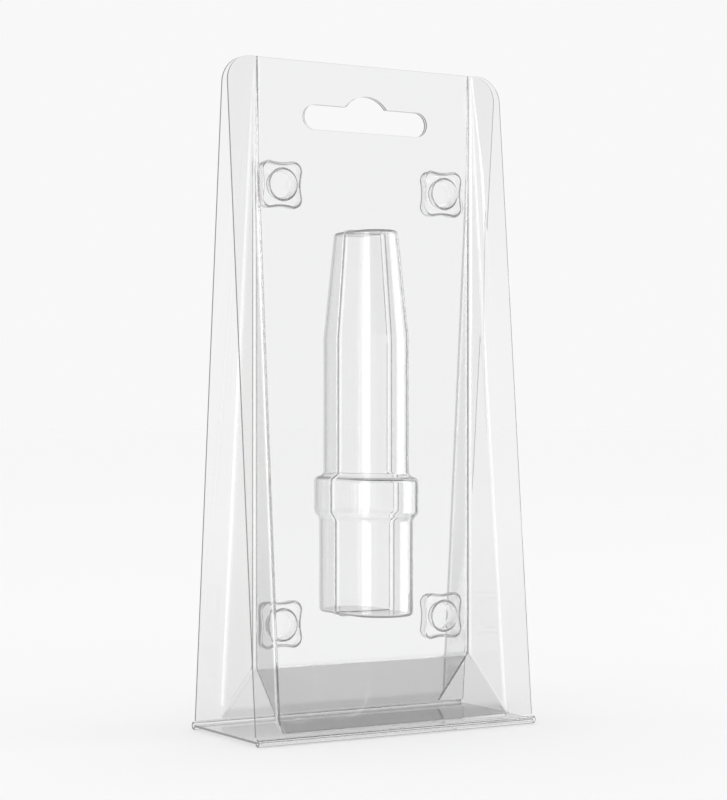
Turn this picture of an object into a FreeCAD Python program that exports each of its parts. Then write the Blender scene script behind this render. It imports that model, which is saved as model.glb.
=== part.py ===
"""Clear tri-fold clamshell pack: a foot panel with a shell hinged along each long edge.

Millimetres. X runs across the pack, Y from front to rear, Z up.
The origin is the middle of the underside of the foot, where the pack stands.
"""
import FreeCAD, Part
import math
import os
from FreeCAD import Vector

# Sheet
SHEET = 0.4
PANEL_GAP = 0.1

# Overall form
PACK_WIDTH = 56.2
PACK_HEIGHT = 117.5
FOOT_DEPTH = 25.4

# Foot panel and its living-hinge beads
BEAD_RADIUS = 0.7
BEAD_SLIT_ANGLE = 62.0
HINGE_CLEARANCE = 0.3
FOOT_CLEARANCE = 0.35

# Sloping wings of each shell
WING_WIDTH = 5.3
WING_TOP_OFFSET = 0.82
WING_CORNER_RADIUS = 4.6
WING_FOOT_INSET = 1.16
CREASE_RADIUS = 0.5

# Tray pressed back from the wings to the middle panel
TRAY_DRAFT = 4.0
TRAY_CORNER_RADIUS = 1.0
RAMP_TOP_RADIUS = 1.6
RAMP_TOP_HEIGHT = 11.6

# Hang slot through both middle panels
SLOT_WIDTH = 25.4
SLOT_HEIGHT = 4.4
SLOT_DROP = 9.7
SLOT_DOME_WIDTH = 8.4
SLOT_DOME_RISE = 2.1

# Product cavity, half of it in each shell
CAVITY_BOTTOM = 20.2
CAVITY_LENGTH = 67.9
CAVITY_DRAFT = 2.0
LOWER_BODY_LENGTH = 16.9
LOWER_BODY_HALF_WIDTH = 5.92
LOWER_BODY_WALL_DEPTH = 4.75
COLLAR_LENGTH = 7.2
COLLAR_HALF_WIDTH = 6.85
COLLAR_CHAMFER = 1.0
SHOULDER_HEIGHT = 0.5
TUBE_LENGTH = 24.3
TUBE_HALF_WIDTH = 5.42
TUBE_WALL_DEPTH = 4.2
MOUTH_HALF_WIDTH = 4.0
MOUTH_WALL_DEPTH = 3.1
CAVITY_END_CHAMFER = 0.8
COLLAR_TOP_CHAMFER = 0.5
FRONT_SPANS = 12

# Snaps: a round button on the front shell in a lobed pocket of the rear shell
SNAP_SPACING_X = 33.4
SNAP_LOW_HEIGHT = 18.9
SNAP_HIGH_DROP = 21.8
BUTTON_RADIUS = 2.95
BUTTON_TIP_RADIUS = 2.65
BUTTON_TIP_CHAMFER = 0.6
BUTTON_REACH = 1.9
POCKET_CLEARANCE = 0.2
POCKET_HALF_WIDTH = 3.7
POCKET_LOBE_RADIUS = 1.3
POCKET_WAIST = 0.25

# Values worked out from the sizes above
HALF_WIDTH = PACK_WIDTH / 2
HINGE_Y = -(FOOT_DEPTH / 2 - BEAD_RADIUS)
HINGE_Z = BEAD_RADIUS
SHELL_BORE = BEAD_RADIUS + HINGE_CLEARANCE
PANEL_FRONT = -(PANEL_GAP + SHEET)
PANEL_REAR = -PANEL_GAP
FOOT_TOP = HINGE_Z + SHEET / 2
WING_FOOT_Y = -(FOOT_DEPTH / 2 - WING_FOOT_INSET)
SHELL_FOOT_Z = FOOT_TOP + FOOT_CLEARANCE
CREASE_HALF_WIDTH = HALF_WIDTH - WING_WIDTH
WING_SLOPE = (-WING_TOP_OFFSET - WING_FOOT_Y) / (PACK_HEIGHT - SHELL_FOOT_Z)
SLOT_CENTRE_HEIGHT = PACK_HEIGHT - SLOT_DROP
SNAP_HIGH_HEIGHT = PACK_HEIGHT - SNAP_HIGH_DROP
BEYOND = 40.0


def wing_y(height):
    """Front face of the sloping wings at a height."""
    return WING_FOOT_Y + WING_SLOPE * (height - SHELL_FOOT_Z)


def face_from(points):
    """Flat face inside a closed run of straight lines."""
    return Part.Face(Part.makePolygon(points + [points[0]]))


def side_prism(outline, half_width):
    """Solid swept across the pack from an outline of (y, z) points."""
    points = [Vector(-half_width, y, z) for y, z in outline]
    return face_from(points).extrude(Vector(2 * half_width, 0, 0))


def edges_where(shape, test):
    """Edges whose two ends and middle all pass a test."""
    chosen = []
    for edge in shape.Edges:
        first, last = edge.ParameterRange
        spots = [edge.valueAt(first), edge.valueAt((first + last) / 2), edge.valueAt(last)]
        if all(test(spot) for spot in spots):
            chosen.append(edge)
    return chosen


def near(value, target, tolerance=0.02):
    return abs(value - target) < tolerance


# Foot panel


def bead(side):
    """Rolled living-hinge bead, a slit tube along one edge of the foot."""
    axis_y = side * HINGE_Y
    inner = BEAD_RADIUS - SHEET

    def rim(radius, angle):
        turn = math.radians(angle)
        return Vector(-HALF_WIDTH, axis_y + side * radius * math.cos(turn), HINGE_Z + radius * math.sin(turn))

    start, middle, end = BEAD_SLIT_ANGLE, (BEAD_SLIT_ANGLE + 360) / 2, 360
    outer_arc = Part.Arc(rim(BEAD_RADIUS, start), rim(BEAD_RADIUS, middle), rim(BEAD_RADIUS, end))
    inner_arc = Part.Arc(rim(inner, end), rim(inner, middle), rim(inner, start))
    edges = [
        outer_arc.toShape(),
        Part.makeLine(rim(BEAD_RADIUS, end), rim(inner, end)),
        inner_arc.toShape(),
        Part.makeLine(rim(inner, start), rim(BEAD_RADIUS, start)),
    ]
    section = Part.Face(Part.Wire(edges))
    return section.extrude(Vector(PACK_WIDTH, 0, 0))


def make_base_panel():
    """Foot panel that hangs between its two beads, just clear of the ground."""
    reach = -HINGE_Y - BEAD_RADIUS + SHEET
    plate = Part.makeBox(
        PACK_WIDTH, 2 * reach, SHEET, Vector(-HALF_WIDTH, -reach, HINGE_Z - SHEET / 2)
    )
    return plate.fuse([bead(1), bead(-1)]).removeSplitter()


# Shell


def tray(offset):
    """Space in front of the middle panel, its walls moved out by an offset.

    Offset 0 is the hollow that shows from the front. Offset SHEET is the back of the same sheet.
    """
    back = PANEL_FRONT + offset
    ramp_run = -WING_FOOT_Y
    ramp_rise = RAMP_TOP_HEIGHT - SHELL_FOOT_Z
    ramp_drop = (SHEET - offset) * math.hypot(ramp_run, ramp_rise) / ramp_run
    ramp_slope = ramp_rise / ramp_run

    def ramp_z(y):
        return RAMP_TOP_HEIGHT + ramp_drop + ramp_slope * y

    outline = [
        (back, ramp_z(back)),
        (back, PACK_HEIGHT + BEYOND),
        (-BEYOND, PACK_HEIGHT + BEYOND),
        (-BEYOND, ramp_z(-BEYOND)),
    ]
    body = side_prism(outline, HALF_WIDTH + BEYOND)
    body = body.common(draft_wedge(offset))
    corner = TRAY_CORNER_RADIUS + offset
    uprights = edges_where(body, lambda p: near(p.y, back) and abs(p.x) > 1 and is_wall(p, offset))
    slopes = edges_where(body, lambda p: near(p.z, ramp_z(p.y)) and is_wall(p, offset))
    body = body.makeFillet(corner, uprights + slopes)
    foot = edges_where(body, lambda p: near(p.y, back) and near(p.z, ramp_z(back)))
    return body.makeFillet(RAMP_TOP_RADIUS + offset, foot)


def wall_x(y, offset):
    """Half width of the tray at a depth, between its drafted side walls."""
    run = math.tan(math.radians(TRAY_DRAFT))
    return CREASE_HALF_WIDTH + run * (WING_FOOT_Y - y) + offset / math.cos(math.radians(TRAY_DRAFT))


def is_wall(point, offset):
    return near(abs(point.x), wall_x(point.y, offset))


def draft_wedge(offset):
    """Tall wedge between the two drafted side walls."""
    near_y, far_y = BEYOND, -2 * BEYOND
    low, high = -BEYOND, PACK_HEIGHT + 2 * BEYOND
    corners = [
        Vector(-wall_x(near_y, offset), near_y, low),
        Vector(wall_x(near_y, offset), near_y, low),
        Vector(wall_x(far_y, offset), far_y, low),
        Vector(-wall_x(far_y, offset), far_y, low),
    ]
    return face_from(corners).extrude(Vector(0, 0, high - low))


def behind_wings(offset):
    """Everything behind the sloping face of the wings, moved back by an offset."""
    low, high = -BEYOND, PACK_HEIGHT + BEYOND
    outline = [
        (wing_y(low) + offset, low),
        (wing_y(high) + offset, high),
        (BEYOND, high),
        (BEYOND, low),
    ]
    return side_prism(outline, HALF_WIDTH + BEYOND)


def outline_block():
    """Upright block as wide and as high as a shell."""
    height = PACK_HEIGHT - SHELL_FOOT_Z
    return Part.makeBox(PACK_WIDTH, 2 * BEYOND, height, Vector(-HALF_WIDTH, -BEYOND, SHELL_FOOT_Z))


def pressed_sheet():
    """Wings and tray as one sheet, with rounded creases between them and rounded top corners."""
    thickness = SHEET * math.hypot(1, WING_SLOPE)
    slab = behind_wings(0).cut(behind_wings(thickness))
    pressed = tray(SHEET).common(behind_wings(0))
    sheet = slab.fuse(pressed).cut(tray(0)).common(outline_block()).removeSplitter()
    sheet = sheet.makeFillet(CREASE_RADIUS + SHEET, creases(sheet, 0))
    sheet = sheet.makeFillet(CREASE_RADIUS, creases(sheet, thickness))
    block = outline_block()
    corners = edges_where(block, lambda p: near(p.z, PACK_HEIGHT) and near(abs(p.x), HALF_WIDTH))
    return sheet.common(block.makeFillet(WING_CORNER_RADIUS, corners))


def creases(sheet, offset):
    """Edges between the tray and the wings, on the front (offset 0) or on the back of the wings."""
    top = edges_where(sheet, lambda p: near(p.z, PACK_HEIGHT))
    inside = edges_where(sheet, lambda p: near(p.y, wing_y(p.z) + offset) and abs(p.x) < HALF_WIDTH - SHEET)
    return [edge for edge in inside if not any(edge.isSame(other) for other in top)]


def hinge_bore():
    """Round clearance that the foot of a shell keeps from its bead."""
    return Part.makeCylinder(
        SHELL_BORE, PACK_WIDTH + 2 * BEYOND, Vector(-HALF_WIDTH - BEYOND, HINGE_Y, HINGE_Z), Vector(1, 0, 0)
    )


def tray_shell():
    """Pressed sheet with the foot of its wings kept clear of the bead."""
    return pressed_sheet().cut(hinge_bore()).removeSplitter()


# Product cavity


def cavity_outline():
    """Half outline of the cavity seen from the front, as (height, half width) from its foot up."""
    collar_foot = CAVITY_BOTTOM + LOWER_BODY_LENGTH
    tube_foot = collar_foot + COLLAR_LENGTH + SHOULDER_HEIGHT
    return [
        (CAVITY_BOTTOM, LOWER_BODY_HALF_WIDTH),
        (collar_foot, LOWER_BODY_HALF_WIDTH),
        (collar_foot + COLLAR_CHAMFER, COLLAR_HALF_WIDTH),
        (collar_foot + COLLAR_LENGTH, COLLAR_HALF_WIDTH),
        (tube_foot, TUBE_HALF_WIDTH),
        (tube_foot + TUBE_LENGTH, TUBE_HALF_WIDTH),
        (CAVITY_BOTTOM + CAVITY_LENGTH, MOUTH_HALF_WIDTH),
    ]


def inset(outline, offset):
    """Outline moved inward by an offset, its two ends kept square."""
    run = [(outline[0][0], 0.0)] + outline + [(outline[-1][0], 0.0)]
    lines = []
    for (z0, w0), (z1, w1) in zip(run, run[1:]):
        length = math.hypot(z1 - z0, w1 - w0)
        across, along = (w1 - w0) / length, (z1 - z0) / length
        lines.append((across, -along, across * z0 - along * w0 + offset))
    moved = []
    for (a0, b0, c0), (a1, b1, c1) in zip(lines, lines[1:]):
        turn = a0 * b1 - a1 * b0
        moved.append(((c0 * b1 - c1 * b0) / turn, (a0 * c1 - a1 * c0) / turn))
    return moved


def cavity_section(height, half_width, depth, back):
    """Closed U across the cavity: two drafted walls of a depth and a round front in equal spans."""
    draft = math.radians(CAVITY_DRAFT)
    radius = half_width * math.cos(draft) - depth * math.sin(draft)
    centre_y = PANEL_FRONT - depth
    end_x = half_width + back * math.tan(draft)
    end_y = PANEL_FRONT + back
    span = (math.pi - 2 * draft) / FRONT_SPANS

    def rim(turn):
        return Vector(radius * math.cos(draft + turn), centre_y - radius * math.sin(draft + turn), height)

    edges = []
    for index in range(FRONT_SPANS):
        turn = index * span
        edges.append(Part.Arc(rim(turn), rim(turn + span / 2), rim(turn + span)).toShape())
    left_end, right_end = Vector(-end_x, end_y, height), Vector(end_x, end_y, height)
    edges.append(Part.makeLine(rim(math.pi - 2 * draft), left_end))
    edges.append(Part.makeLine(left_end, right_end))
    edges.append(Part.makeLine(right_end, rim(0)))
    return Part.Wire(edges)


def cavity_body(offset, back):
    """Solid form of the cavity, its skin moved inward by an offset, carried back behind the panel face."""
    depths = [LOWER_BODY_WALL_DEPTH] * 4 + [TUBE_WALL_DEPTH] * 2 + [MOUTH_WALL_DEPTH]
    outline = inset(cavity_outline(), offset)
    sections = [cavity_section(z, w, depth, back) for (z, w), depth in zip(outline, depths)]
    pieces = [Part.makeLoft([low, high], True, True) for low, high in zip(sections, sections[1:])]
    body = pieces[0].fuse(pieces[1:]).removeSplitter()
    heights = [z for z, w in outline]
    skin = offset * math.tan(math.radians(22.5))
    end = CAVITY_END_CHAMFER - skin
    for index, size in ((0, end), (3, COLLAR_TOP_CHAMFER - skin), (6, end)):
        body = body.makeChamfer(size, level_edges(body, heights[index], PANEL_FRONT + back))
    return body


def level_edges(body, height, back_y):
    """Edges at a height that run round the skin, without the one in the back plane."""
    level = edges_where(body, lambda p: near(p.z, height))
    behind = edges_where(body, lambda p: near(p.y, back_y))
    return [edge for edge in level if not any(edge.isSame(other) for other in behind)]


def press_cavity(sheet):
    """Sheet with the cavity pressed toward the front."""
    return sheet.fuse(cavity_body(0, SHEET / 2)).cut(cavity_body(SHEET, 3 * SHEET))


# Hang slot


def hang_slot():
    """Round-ended slot with a low dome in the middle of its top edge."""
    half = SLOT_WIDTH / 2 - SLOT_HEIGHT / 2
    low = SLOT_CENTRE_HEIGHT - SLOT_HEIGHT / 2
    high = SLOT_CENTRE_HEIGHT + SLOT_HEIGHT / 2
    dome = SLOT_DOME_WIDTH / 2

    def spot(x, z):
        return Vector(x, -BEYOND, z)

    edges = [
        Part.makeLine(spot(-half, low), spot(half, low)),
        Part.Arc(spot(half, low), spot(SLOT_WIDTH / 2, SLOT_CENTRE_HEIGHT), spot(half, high)).toShape(),
        Part.makeLine(spot(half, high), spot(dome, high)),
        Part.Arc(spot(dome, high), spot(0, high + SLOT_DOME_RISE), spot(-dome, high)).toShape(),
        Part.makeLine(spot(-dome, high), spot(-half, high)),
        Part.Arc(spot(-half, high), spot(-SLOT_WIDTH / 2, SLOT_CENTRE_HEIGHT), spot(-half, low)).toShape(),
    ]
    return Part.Face(Part.Wire(edges)).extrude(Vector(0, 2 * BEYOND, 0))


# Snaps


def snap_centres():
    places = []
    for height in (SNAP_LOW_HEIGHT, SNAP_HIGH_HEIGHT):
        for side in (-1, 1):
            places.append((side * SNAP_SPACING_X / 2, height))
    return places


def button_body(offset, front_y):
    """Round button that points back, its skin moved inward by an offset."""
    reach = BUTTON_REACH - offset
    slope = (BUTTON_RADIUS - BUTTON_TIP_RADIUS) / (BUTTON_REACH - PANEL_REAR)

    def radius(y):
        return BUTTON_RADIUS - offset - slope * (y - PANEL_REAR)

    body = Part.makeCone(radius(front_y), radius(reach), reach - front_y, Vector(0, front_y, 0), Vector(0, 1, 0))
    tip = edges_where(body, lambda p: near(p.y, reach))
    return body.makeChamfer(BUTTON_TIP_CHAMFER - offset * math.tan(math.radians(22.5)), tip)


def press_buttons(sheet):
    middle = (PANEL_FRONT + PANEL_REAR) / 2
    for x, z in snap_centres():
        outer = button_body(0, middle)
        inner = button_body(SHEET, PANEL_FRONT - SHEET)
        for body in (outer, inner):
            body.translate(Vector(x, 0, z))
        sheet = sheet.fuse(outer).cut(inner)
    return sheet


def lobed_square(growth, y):
    """Square outline with a round lobe at each corner and a shallow waist along each side."""
    lobe_centre = POCKET_HALF_WIDTH - POCKET_LOBE_RADIUS
    reach = POCKET_LOBE_RADIUS - POCKET_WAIST
    waist_radius = (lobe_centre ** 2 + reach ** 2 - POCKET_LOBE_RADIUS ** 2) / (2 * POCKET_WAIST)
    waist_centre = waist_radius + POCKET_HALF_WIDTH - POCKET_WAIST
    lean = math.atan2(lobe_centre, waist_centre - lobe_centre)

    def rim(centre_x, centre_z, radius, turn):
        return Vector(centre_x + radius * math.cos(turn), y, centre_z + radius * math.sin(turn))

    waist = [rim(waist_centre, 0, growth - waist_radius, turn) for turn in (lean, 0, -lean)]
    lobe = [
        rim(lobe_centre, lobe_centre, POCKET_LOBE_RADIUS + growth, turn)
        for turn in (-lean, math.pi / 4, math.pi / 2 + lean)
    ]
    edges = []
    for quarter in range(4):
        for run in (waist, lobe):
            arc = Part.Arc(*run).toShape()
            arc.rotate(Vector(0, y, 0), Vector(0, -1, 0), 90 * quarter)
            edges.append(arc)
    return Part.Wire(edges)


def pocket_body(offset, back):
    """Lobed pocket that stands toward the front, its skin moved inward by an offset."""
    floor = -(BUTTON_REACH + POCKET_CLEARANCE + SHEET) + offset
    root = PANEL_FRONT + back
    return Part.Face(lobed_square(SHEET - offset, floor)).extrude(Vector(0, root - floor, 0))


def press_pockets(sheet):
    for x, z in snap_centres():
        outer = pocket_body(0, SHEET / 2)
        inner = pocket_body(SHEET, 3 * SHEET)
        for body in (outer, inner):
            body.translate(Vector(x, 0, z))
        sheet = sheet.fuse(outer).cut(inner)
    return sheet


def make_front_shell():
    shell = press_buttons(press_cavity(tray_shell()))
    return shell.cut(hang_slot()).removeSplitter()


def make_rear_shell():
    """The same pressing with pockets, turned to face the rear."""
    shell = press_pockets(press_cavity(tray_shell()))
    shell = shell.cut(hang_slot()).removeSplitter()
    return shell.mirror(Vector(0, 0, 0), Vector(0, 1, 0))


def main():
    os.makedirs("parts", exist_ok=True)
    nodes = {
        "base_panel": make_base_panel(),
        "front_shell": make_front_shell(),
        "rear_shell": make_rear_shell(),
    }
    for name, shape in nodes.items():
        shape.exportStep("parts/" + name + ".step")
        print(name, len(shape.Solids), "solid, valid:", shape.isValid(), "volume:", round(shape.Volume, 1))


main()
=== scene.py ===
"""Clear clamshell pack on a pale studio floor.

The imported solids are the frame. This file gives the foot panel a clear sheet material, rebuilds both shells
with the soft bends of a pressed sheet, and sets up the floor, the lights and the camera.
Metres, +Z up, with the frame's own origin.
"""

import math

import bmesh
import bpy
from bpy.props import FloatProperty, FloatVectorProperty, PointerProperty
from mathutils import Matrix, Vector
from mathutils.geometry import delaunay_2d_cdt


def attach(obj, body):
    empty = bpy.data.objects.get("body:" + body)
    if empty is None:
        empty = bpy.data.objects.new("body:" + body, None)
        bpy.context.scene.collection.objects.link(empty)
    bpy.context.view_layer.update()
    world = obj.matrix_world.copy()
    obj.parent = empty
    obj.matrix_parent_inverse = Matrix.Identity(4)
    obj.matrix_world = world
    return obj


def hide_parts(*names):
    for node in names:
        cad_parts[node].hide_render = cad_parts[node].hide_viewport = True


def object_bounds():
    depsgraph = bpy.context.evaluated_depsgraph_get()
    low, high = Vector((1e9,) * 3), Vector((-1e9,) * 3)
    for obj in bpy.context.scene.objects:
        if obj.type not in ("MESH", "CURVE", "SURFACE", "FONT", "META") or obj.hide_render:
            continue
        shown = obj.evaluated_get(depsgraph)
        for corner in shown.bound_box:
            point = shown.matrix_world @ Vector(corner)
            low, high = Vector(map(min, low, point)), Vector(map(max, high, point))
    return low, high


bl_info = {
    "name": "Clamshell pack",
    "version": (1, 0, 0),
    "blender": (4, 5, 0),
    "location": "View3D > Sidebar > Pack",
    "description": "Dresses a clear clamshell pack and its studio stage",
    "category": "Object",
}

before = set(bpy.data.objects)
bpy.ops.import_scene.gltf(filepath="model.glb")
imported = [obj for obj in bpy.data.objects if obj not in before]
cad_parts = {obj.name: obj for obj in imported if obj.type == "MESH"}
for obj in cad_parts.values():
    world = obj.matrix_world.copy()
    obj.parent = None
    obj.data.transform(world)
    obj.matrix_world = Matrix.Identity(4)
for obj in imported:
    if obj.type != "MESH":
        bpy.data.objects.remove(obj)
CAD_BOX = [list(corner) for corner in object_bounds()]


# Fixed numbers of the mesh, in metres

WELD = 2e-6                       # points of the skin closer than this become one
LEAST_STEP = 1e-6                 # least distance between two points of a rounded outline
PANEL_WELD = 1e-7                 # points of the flat panel closer than this become one
SHARP_ANGLE = math.radians(40.0)  # edges over this angle stay sharp
FOOT_ROWS = 0.0006                # rows of the tray stand closest together up to this far over its foot,
LOW_ROWS = 0.0026                 # close together up to this far,
TOP_ROWS = 0.0995                 # and close together again from this height up to the top corners
CORNER_SHARE = 0.48               # share of a side of the cavity's outline that a rounded corner may take
BUTTON_MOUTH = 0.0001             # front radius of the bend at the mouth of a button
BUTTON_FLOOR = 0.0003             # radius of the bend round the floor of a button
POCKET_ROOT = 0.00015             # radius of the bend at the root of a pocket
POCKET_EDGE = 0.0006              # radius of the bend round the front of a pocket
EASE_SHARE = 0.6                  # share of the least radius over which the tray eases out at its foot
CORNER_LIMIT = 0.7                # least cosine that an outline's corner is widened by when it grows

# Fixed numbers of the sheet's finish

MIRROR_LIMIT = 3.5                # mirror bounces after which a path isn't followed any more
PATH_LIMIT = 10.5                 # bounces of any kind after which it isn't
# Sizes of the sheet's tone: where the ramps and the wing feet get painted shade, and where the wings turn
# greyer
TONE_AND_SHADE_SIZES = (
    ("Ramp top", 0.0128), ("Ramp slope", 0.4), ("Ramp half width", 0.0229), ("Tray half width", 0.0219),
    ("Ramp shade band", 0.0042), ("Wing shade band", 0.04),
)
SHELL_RIPPLES = (90.0, 0.2)       # ripples in a metre, and share of the fine ones
FOOT_RIPPLES = (120.0, 0.35)
FINE_RIPPLES = 6.0                # fine ripples for each slow one
RAMP_SHADE_START = 0.7             # share of the ramp shade band that has the full painted shade of the foot
WING_SHADE_START = 0.35            # share of the wing shade band that has the full painted shade of the foot

# Fixed numbers of the stage. Bearing 0 stands in front of the pack, and 90 on its right. A rise is the sine
# of a direction's elevation.

FLOOR_REACH = 6.0
FLOOR_DROP = 0.0001               # floor below the lowest point of the pack
HIGH_ROOM_RISE = (0.17, 0.3)      # rise over which the mirrored room darkens
CEILING_RISE = (0.45, 0.85)       # rise over which the ceiling begins
SIDE_ROOM = (95.0, 46.0)          # bearing and half width in degrees
BACK_ROOM = (-149.0, 26.0)
ROOM_FADE = 8.0                   # degrees by which both fade in and out
# Soft boxes: bearing and half width in degrees, distance, and the heights of the lower and the upper edge
LEFT_BOX = (-82.0, 18.0, 0.22, -0.05, 0.24)
RIGHT_BOX = (59.5, 18.0, 0.22, -0.05, 0.24)
FRONT_BOX = (31.0, 16.0, 0.9, 0.52, 1.0)
# Strip lights: bearing in degrees, and width
LEFT_STRIP = (-80.0, 0.45)
RIGHT_STRIP = (70.0, 0.3)
STRIP_DISTANCE = 0.9
STRIP_HEIGHT = 0.25               # height of the middle of both strips
STRIP_LENGTH = 0.9
STRIP_AIM = (0.0, 0.0, 0.06)
CAMERA_PLACE = (-0.1989, -0.3333, 0.0562)
CAMERA_BEARING = -30.781
CAMERA_LENS = 98.04
CAMERA_SENSOR = 36.0
CAMERA_SHIFT = 0.01365


# Settings


def length(name, description, default):
    """Setting for a length in metres."""
    return FloatProperty(name=name, description=description, default=default, precision=5, unit="LENGTH")


def slant(name, description, degrees):
    """Setting for an angle, its default given in degrees."""
    return FloatProperty(name=name, description=description, default=math.radians(degrees), subtype="ANGLE")


def share(name, description, default):
    """Setting for a brightness, where 1 is white."""
    return FloatProperty(name=name, description=description, default=default, min=0.0, max=10.0)


def refraction(name, description, default):
    """Setting for an index of refraction."""
    return FloatProperty(name=name, description=description, default=default, min=1.0, max=2.0)


def see_through(name, place, colour):
    """Setting for the colour that one skin of the sheet lets through at a place."""
    return FloatVectorProperty(
        name=name, description=f"Colour that one skin of the sheet lets through {place}",
        subtype="COLOR", size=3, min=0.0, max=1.0, default=colour,
    )


class PackFormSettings(bpy.types.PropertyGroup):
    width: length("Width", "Width of the pack", 0.0562)
    height: length("Height", "Height of the pack", 0.1175)
    sheet: length("Sheet", "Thickness of the sheet", 0.0004)
    panel_gap: length("Panel gap", "Middle plane of the pack to the back of each middle panel", 0.0001)
    wing_foot: length("Wing foot", "Front face of the wings at their foot", -0.01154)
    wing_top: length("Wing top", "Middle plane of the pack to the wings at their top", 0.00082)
    wing_width: length("Wing width", "Outer edge of a wing to its crease", 0.0053)
    wing_corner: length("Wing corner", "Radius of the top corners", 0.0046)
    foot_clear: length("Foot height", "Height of the foot of the wings", 0.00125)
    foot_trim: length("Foot trim", "Part of the foot that gives way to the bead", 0.00034)
    crease_radius: length("Crease radius", "Front radius of the bend between wing and tray", 0.0018)
    least_radius: length("Least radius", "Least front radius of the bends at the foot", 0.0005)
    tray_radius: length("Tray radius", "Front radius of the bend between tray wall and panel", 0.0005)
    tray_draft: slant("Tray draft", "Draft of the side walls of the tray", 4.0)
    ramp_radius: length("Ramp radius", "Front radius of the bend between panel and ramp", 0.0016)
    ramp_top: length("Ramp top", "Height at which the ramp would meet the middle plane", 0.0116)
    slot_width: length("Slot width", "Width of the hang slot", 0.0254)
    slot_height: length("Slot height", "Height of the hang slot at its ends", 0.0044)
    slot_drop: length("Slot drop", "Top of the pack to the middle of the hang slot", 0.0097)
    dome_width: length("Dome width", "Width of the dome of the hang slot", 0.0084)
    dome_rise: length("Dome rise", "Rise of the dome of the hang slot", 0.0021)
    cavity_foot: length("Cavity foot", "Height of the lower end of the cavity", 0.0202)
    cavity_length: length("Cavity length", "Length of the cavity", 0.0679)
    cavity_draft: slant("Cavity draft", "Draft of the side walls of the cavity", 2.0)
    lower_length: length("Lower length", "Length of the lower body", 0.0169)
    lower_half: length("Lower half width", "Half width of the lower body", 0.00592)
    lower_depth: length("Lower wall depth", "Depth of the side walls of the lower body", 0.00475)
    collar_length: length("Collar length", "Length of the collar", 0.0072)
    collar_half: length("Collar half width", "Half width of the collar", 0.00685)
    collar_bevel: length("Collar bevel", "Height of the slope under the collar", 0.001)
    shoulder: length("Shoulder", "Height of the shoulder over the collar", 0.0005)
    tube_length: length("Tube length", "Length of the straight tube", 0.0243)
    tube_half: length("Tube half width", "Half width of the tube", 0.00542)
    tube_depth: length("Tube wall depth", "Depth of the side walls of the tube", 0.0042)
    mouth_half: length("Mouth half width", "Half width of the tapered end", 0.004)
    mouth_depth: length("Mouth wall depth", "Depth of the side walls of the tapered end", 0.0031)
    end_radius: length("End radius", "Bend round the two flat ends of the cavity", 0.0008)
    root_radius: length("Root radius", "Bend between cavity and panel", 0.0005)
    snap_spacing: length("Snap spacing", "Left snaps to right snaps", 0.0334)
    snap_low: length("Low snaps", "Height of the lower snaps", 0.0189)
    snap_drop: length("High snaps", "Top of the pack to the upper snaps", 0.0218)
    button_radius: length("Button radius", "Radius of a snap button at its root", 0.00295)
    button_tip: length("Button tip", "Radius of a snap button at its tip", 0.00265)
    button_reach: length("Button reach", "Middle plane of the pack to the tip of a button", 0.0019)
    pocket_clearance: length("Pocket clearance", "Tip of a button to the floor of its pocket", 0.0002)
    pocket_half: length("Pocket half width", "Half width of a snap pocket over its lobes", 0.0037)
    pocket_lobe: length("Pocket lobe", "Radius of the lobes of a pocket", 0.0013)
    pocket_waist: length("Pocket waist", "Depth of the waist along each side of a pocket", 0.00025)


class PackSheetSettings(bpy.types.PropertyGroup):
    tint: see_through("Sheet tint", "on the panels", (0.987, 0.988, 0.988))
    # Painted shade: the ramp's sheet is darkened, most at its foot, where shade falls under the pack
    ramp_painted_shade: see_through("Ramp painted shade", "on the ramps as painted shade", (0.833, 0.833, 0.833))
    ramp_foot_painted_shade: see_through("Ramp foot painted shade", "at the foot of the ramps as deeper painted shade", (0.7, 0.7, 0.7))
    wing_tint: see_through("Wing tint", "on the wings", (0.976, 0.977, 0.977))
    # Painted shade: the wing's sheet is darkened towards its foot
    wing_foot_painted_shade: see_through("Wing foot painted shade", "at the foot of the wings as painted shade", (0.915, 0.916, 0.916))
    ior: refraction("Refraction", "Index of refraction of both shells", 1.57)
    foot_ior: refraction("Foot refraction", "Index of refraction of the foot panel and its beads", 1.42)
    shell_glow: share("Shell glow", "Light of a path that bounced too often in a shell", 0.3)
    foot_glow: share("Foot glow", "Light of a path that bounced too often in the foot", 0.33)
    waviness: length("Waviness", "Height of the slow ripples in the pressed sheet", 0.000009)
    shade: FloatProperty(
        name="Shadow share", description="Share of light that each skin lets through to the floor",
        default=0.93, min=0.0, max=1.0, subtype="FACTOR",
    )


class PackStageSettings(bpy.types.PropertyGroup):
    backdrop: share("Backdrop", "Brightness of the backdrop", 0.94)
    floor: share("Floor", "Colour of the floor", 0.94)
    floor_light: share("Floor light", "Even light on the floor", 0.995)
    room: share("Room", "Brightness of the room that the sheet mirrors", 0.72)
    high_room: share("High room", "Brightness of the room above the pack that the sheet mirrors", 0.35)
    side_room: share("Side room", "Brightness of the right side of the room that the sheet mirrors", 0.25)
    back_room: share("Back room", "Brightness of the left rear of the room that the sheet mirrors", 0.43)
    ceiling: share("Ceiling", "Brightness of the ceiling in the sheet", 0.02)
    left_box: share("Left soft box", "Brightness of the soft box on the left", 2.2)
    right_box: share("Right soft box", "Brightness of the soft box on the right", 2.7)
    front_box: share("Front soft box", "Brightness of the high soft box in front", 3.0)
    lamp_power: FloatProperty(
        name="Lamp power", description="Power of each of the two lamps", default=0.5, min=0.0, unit="POWER",
    )


# Node helpers


def new_tree(owner):
    """Empty node tree of a material or a world."""
    owner.use_nodes = True
    nodes = owner.node_tree.nodes
    nodes.clear()
    return nodes, owner.node_tree.links


def feed(links, socket, value):
    """Link a socket to another one, or set it to a plain number."""
    if isinstance(value, bpy.types.NodeSocket):
        links.new(value, socket)
    else:
        socket.default_value = value


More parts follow.
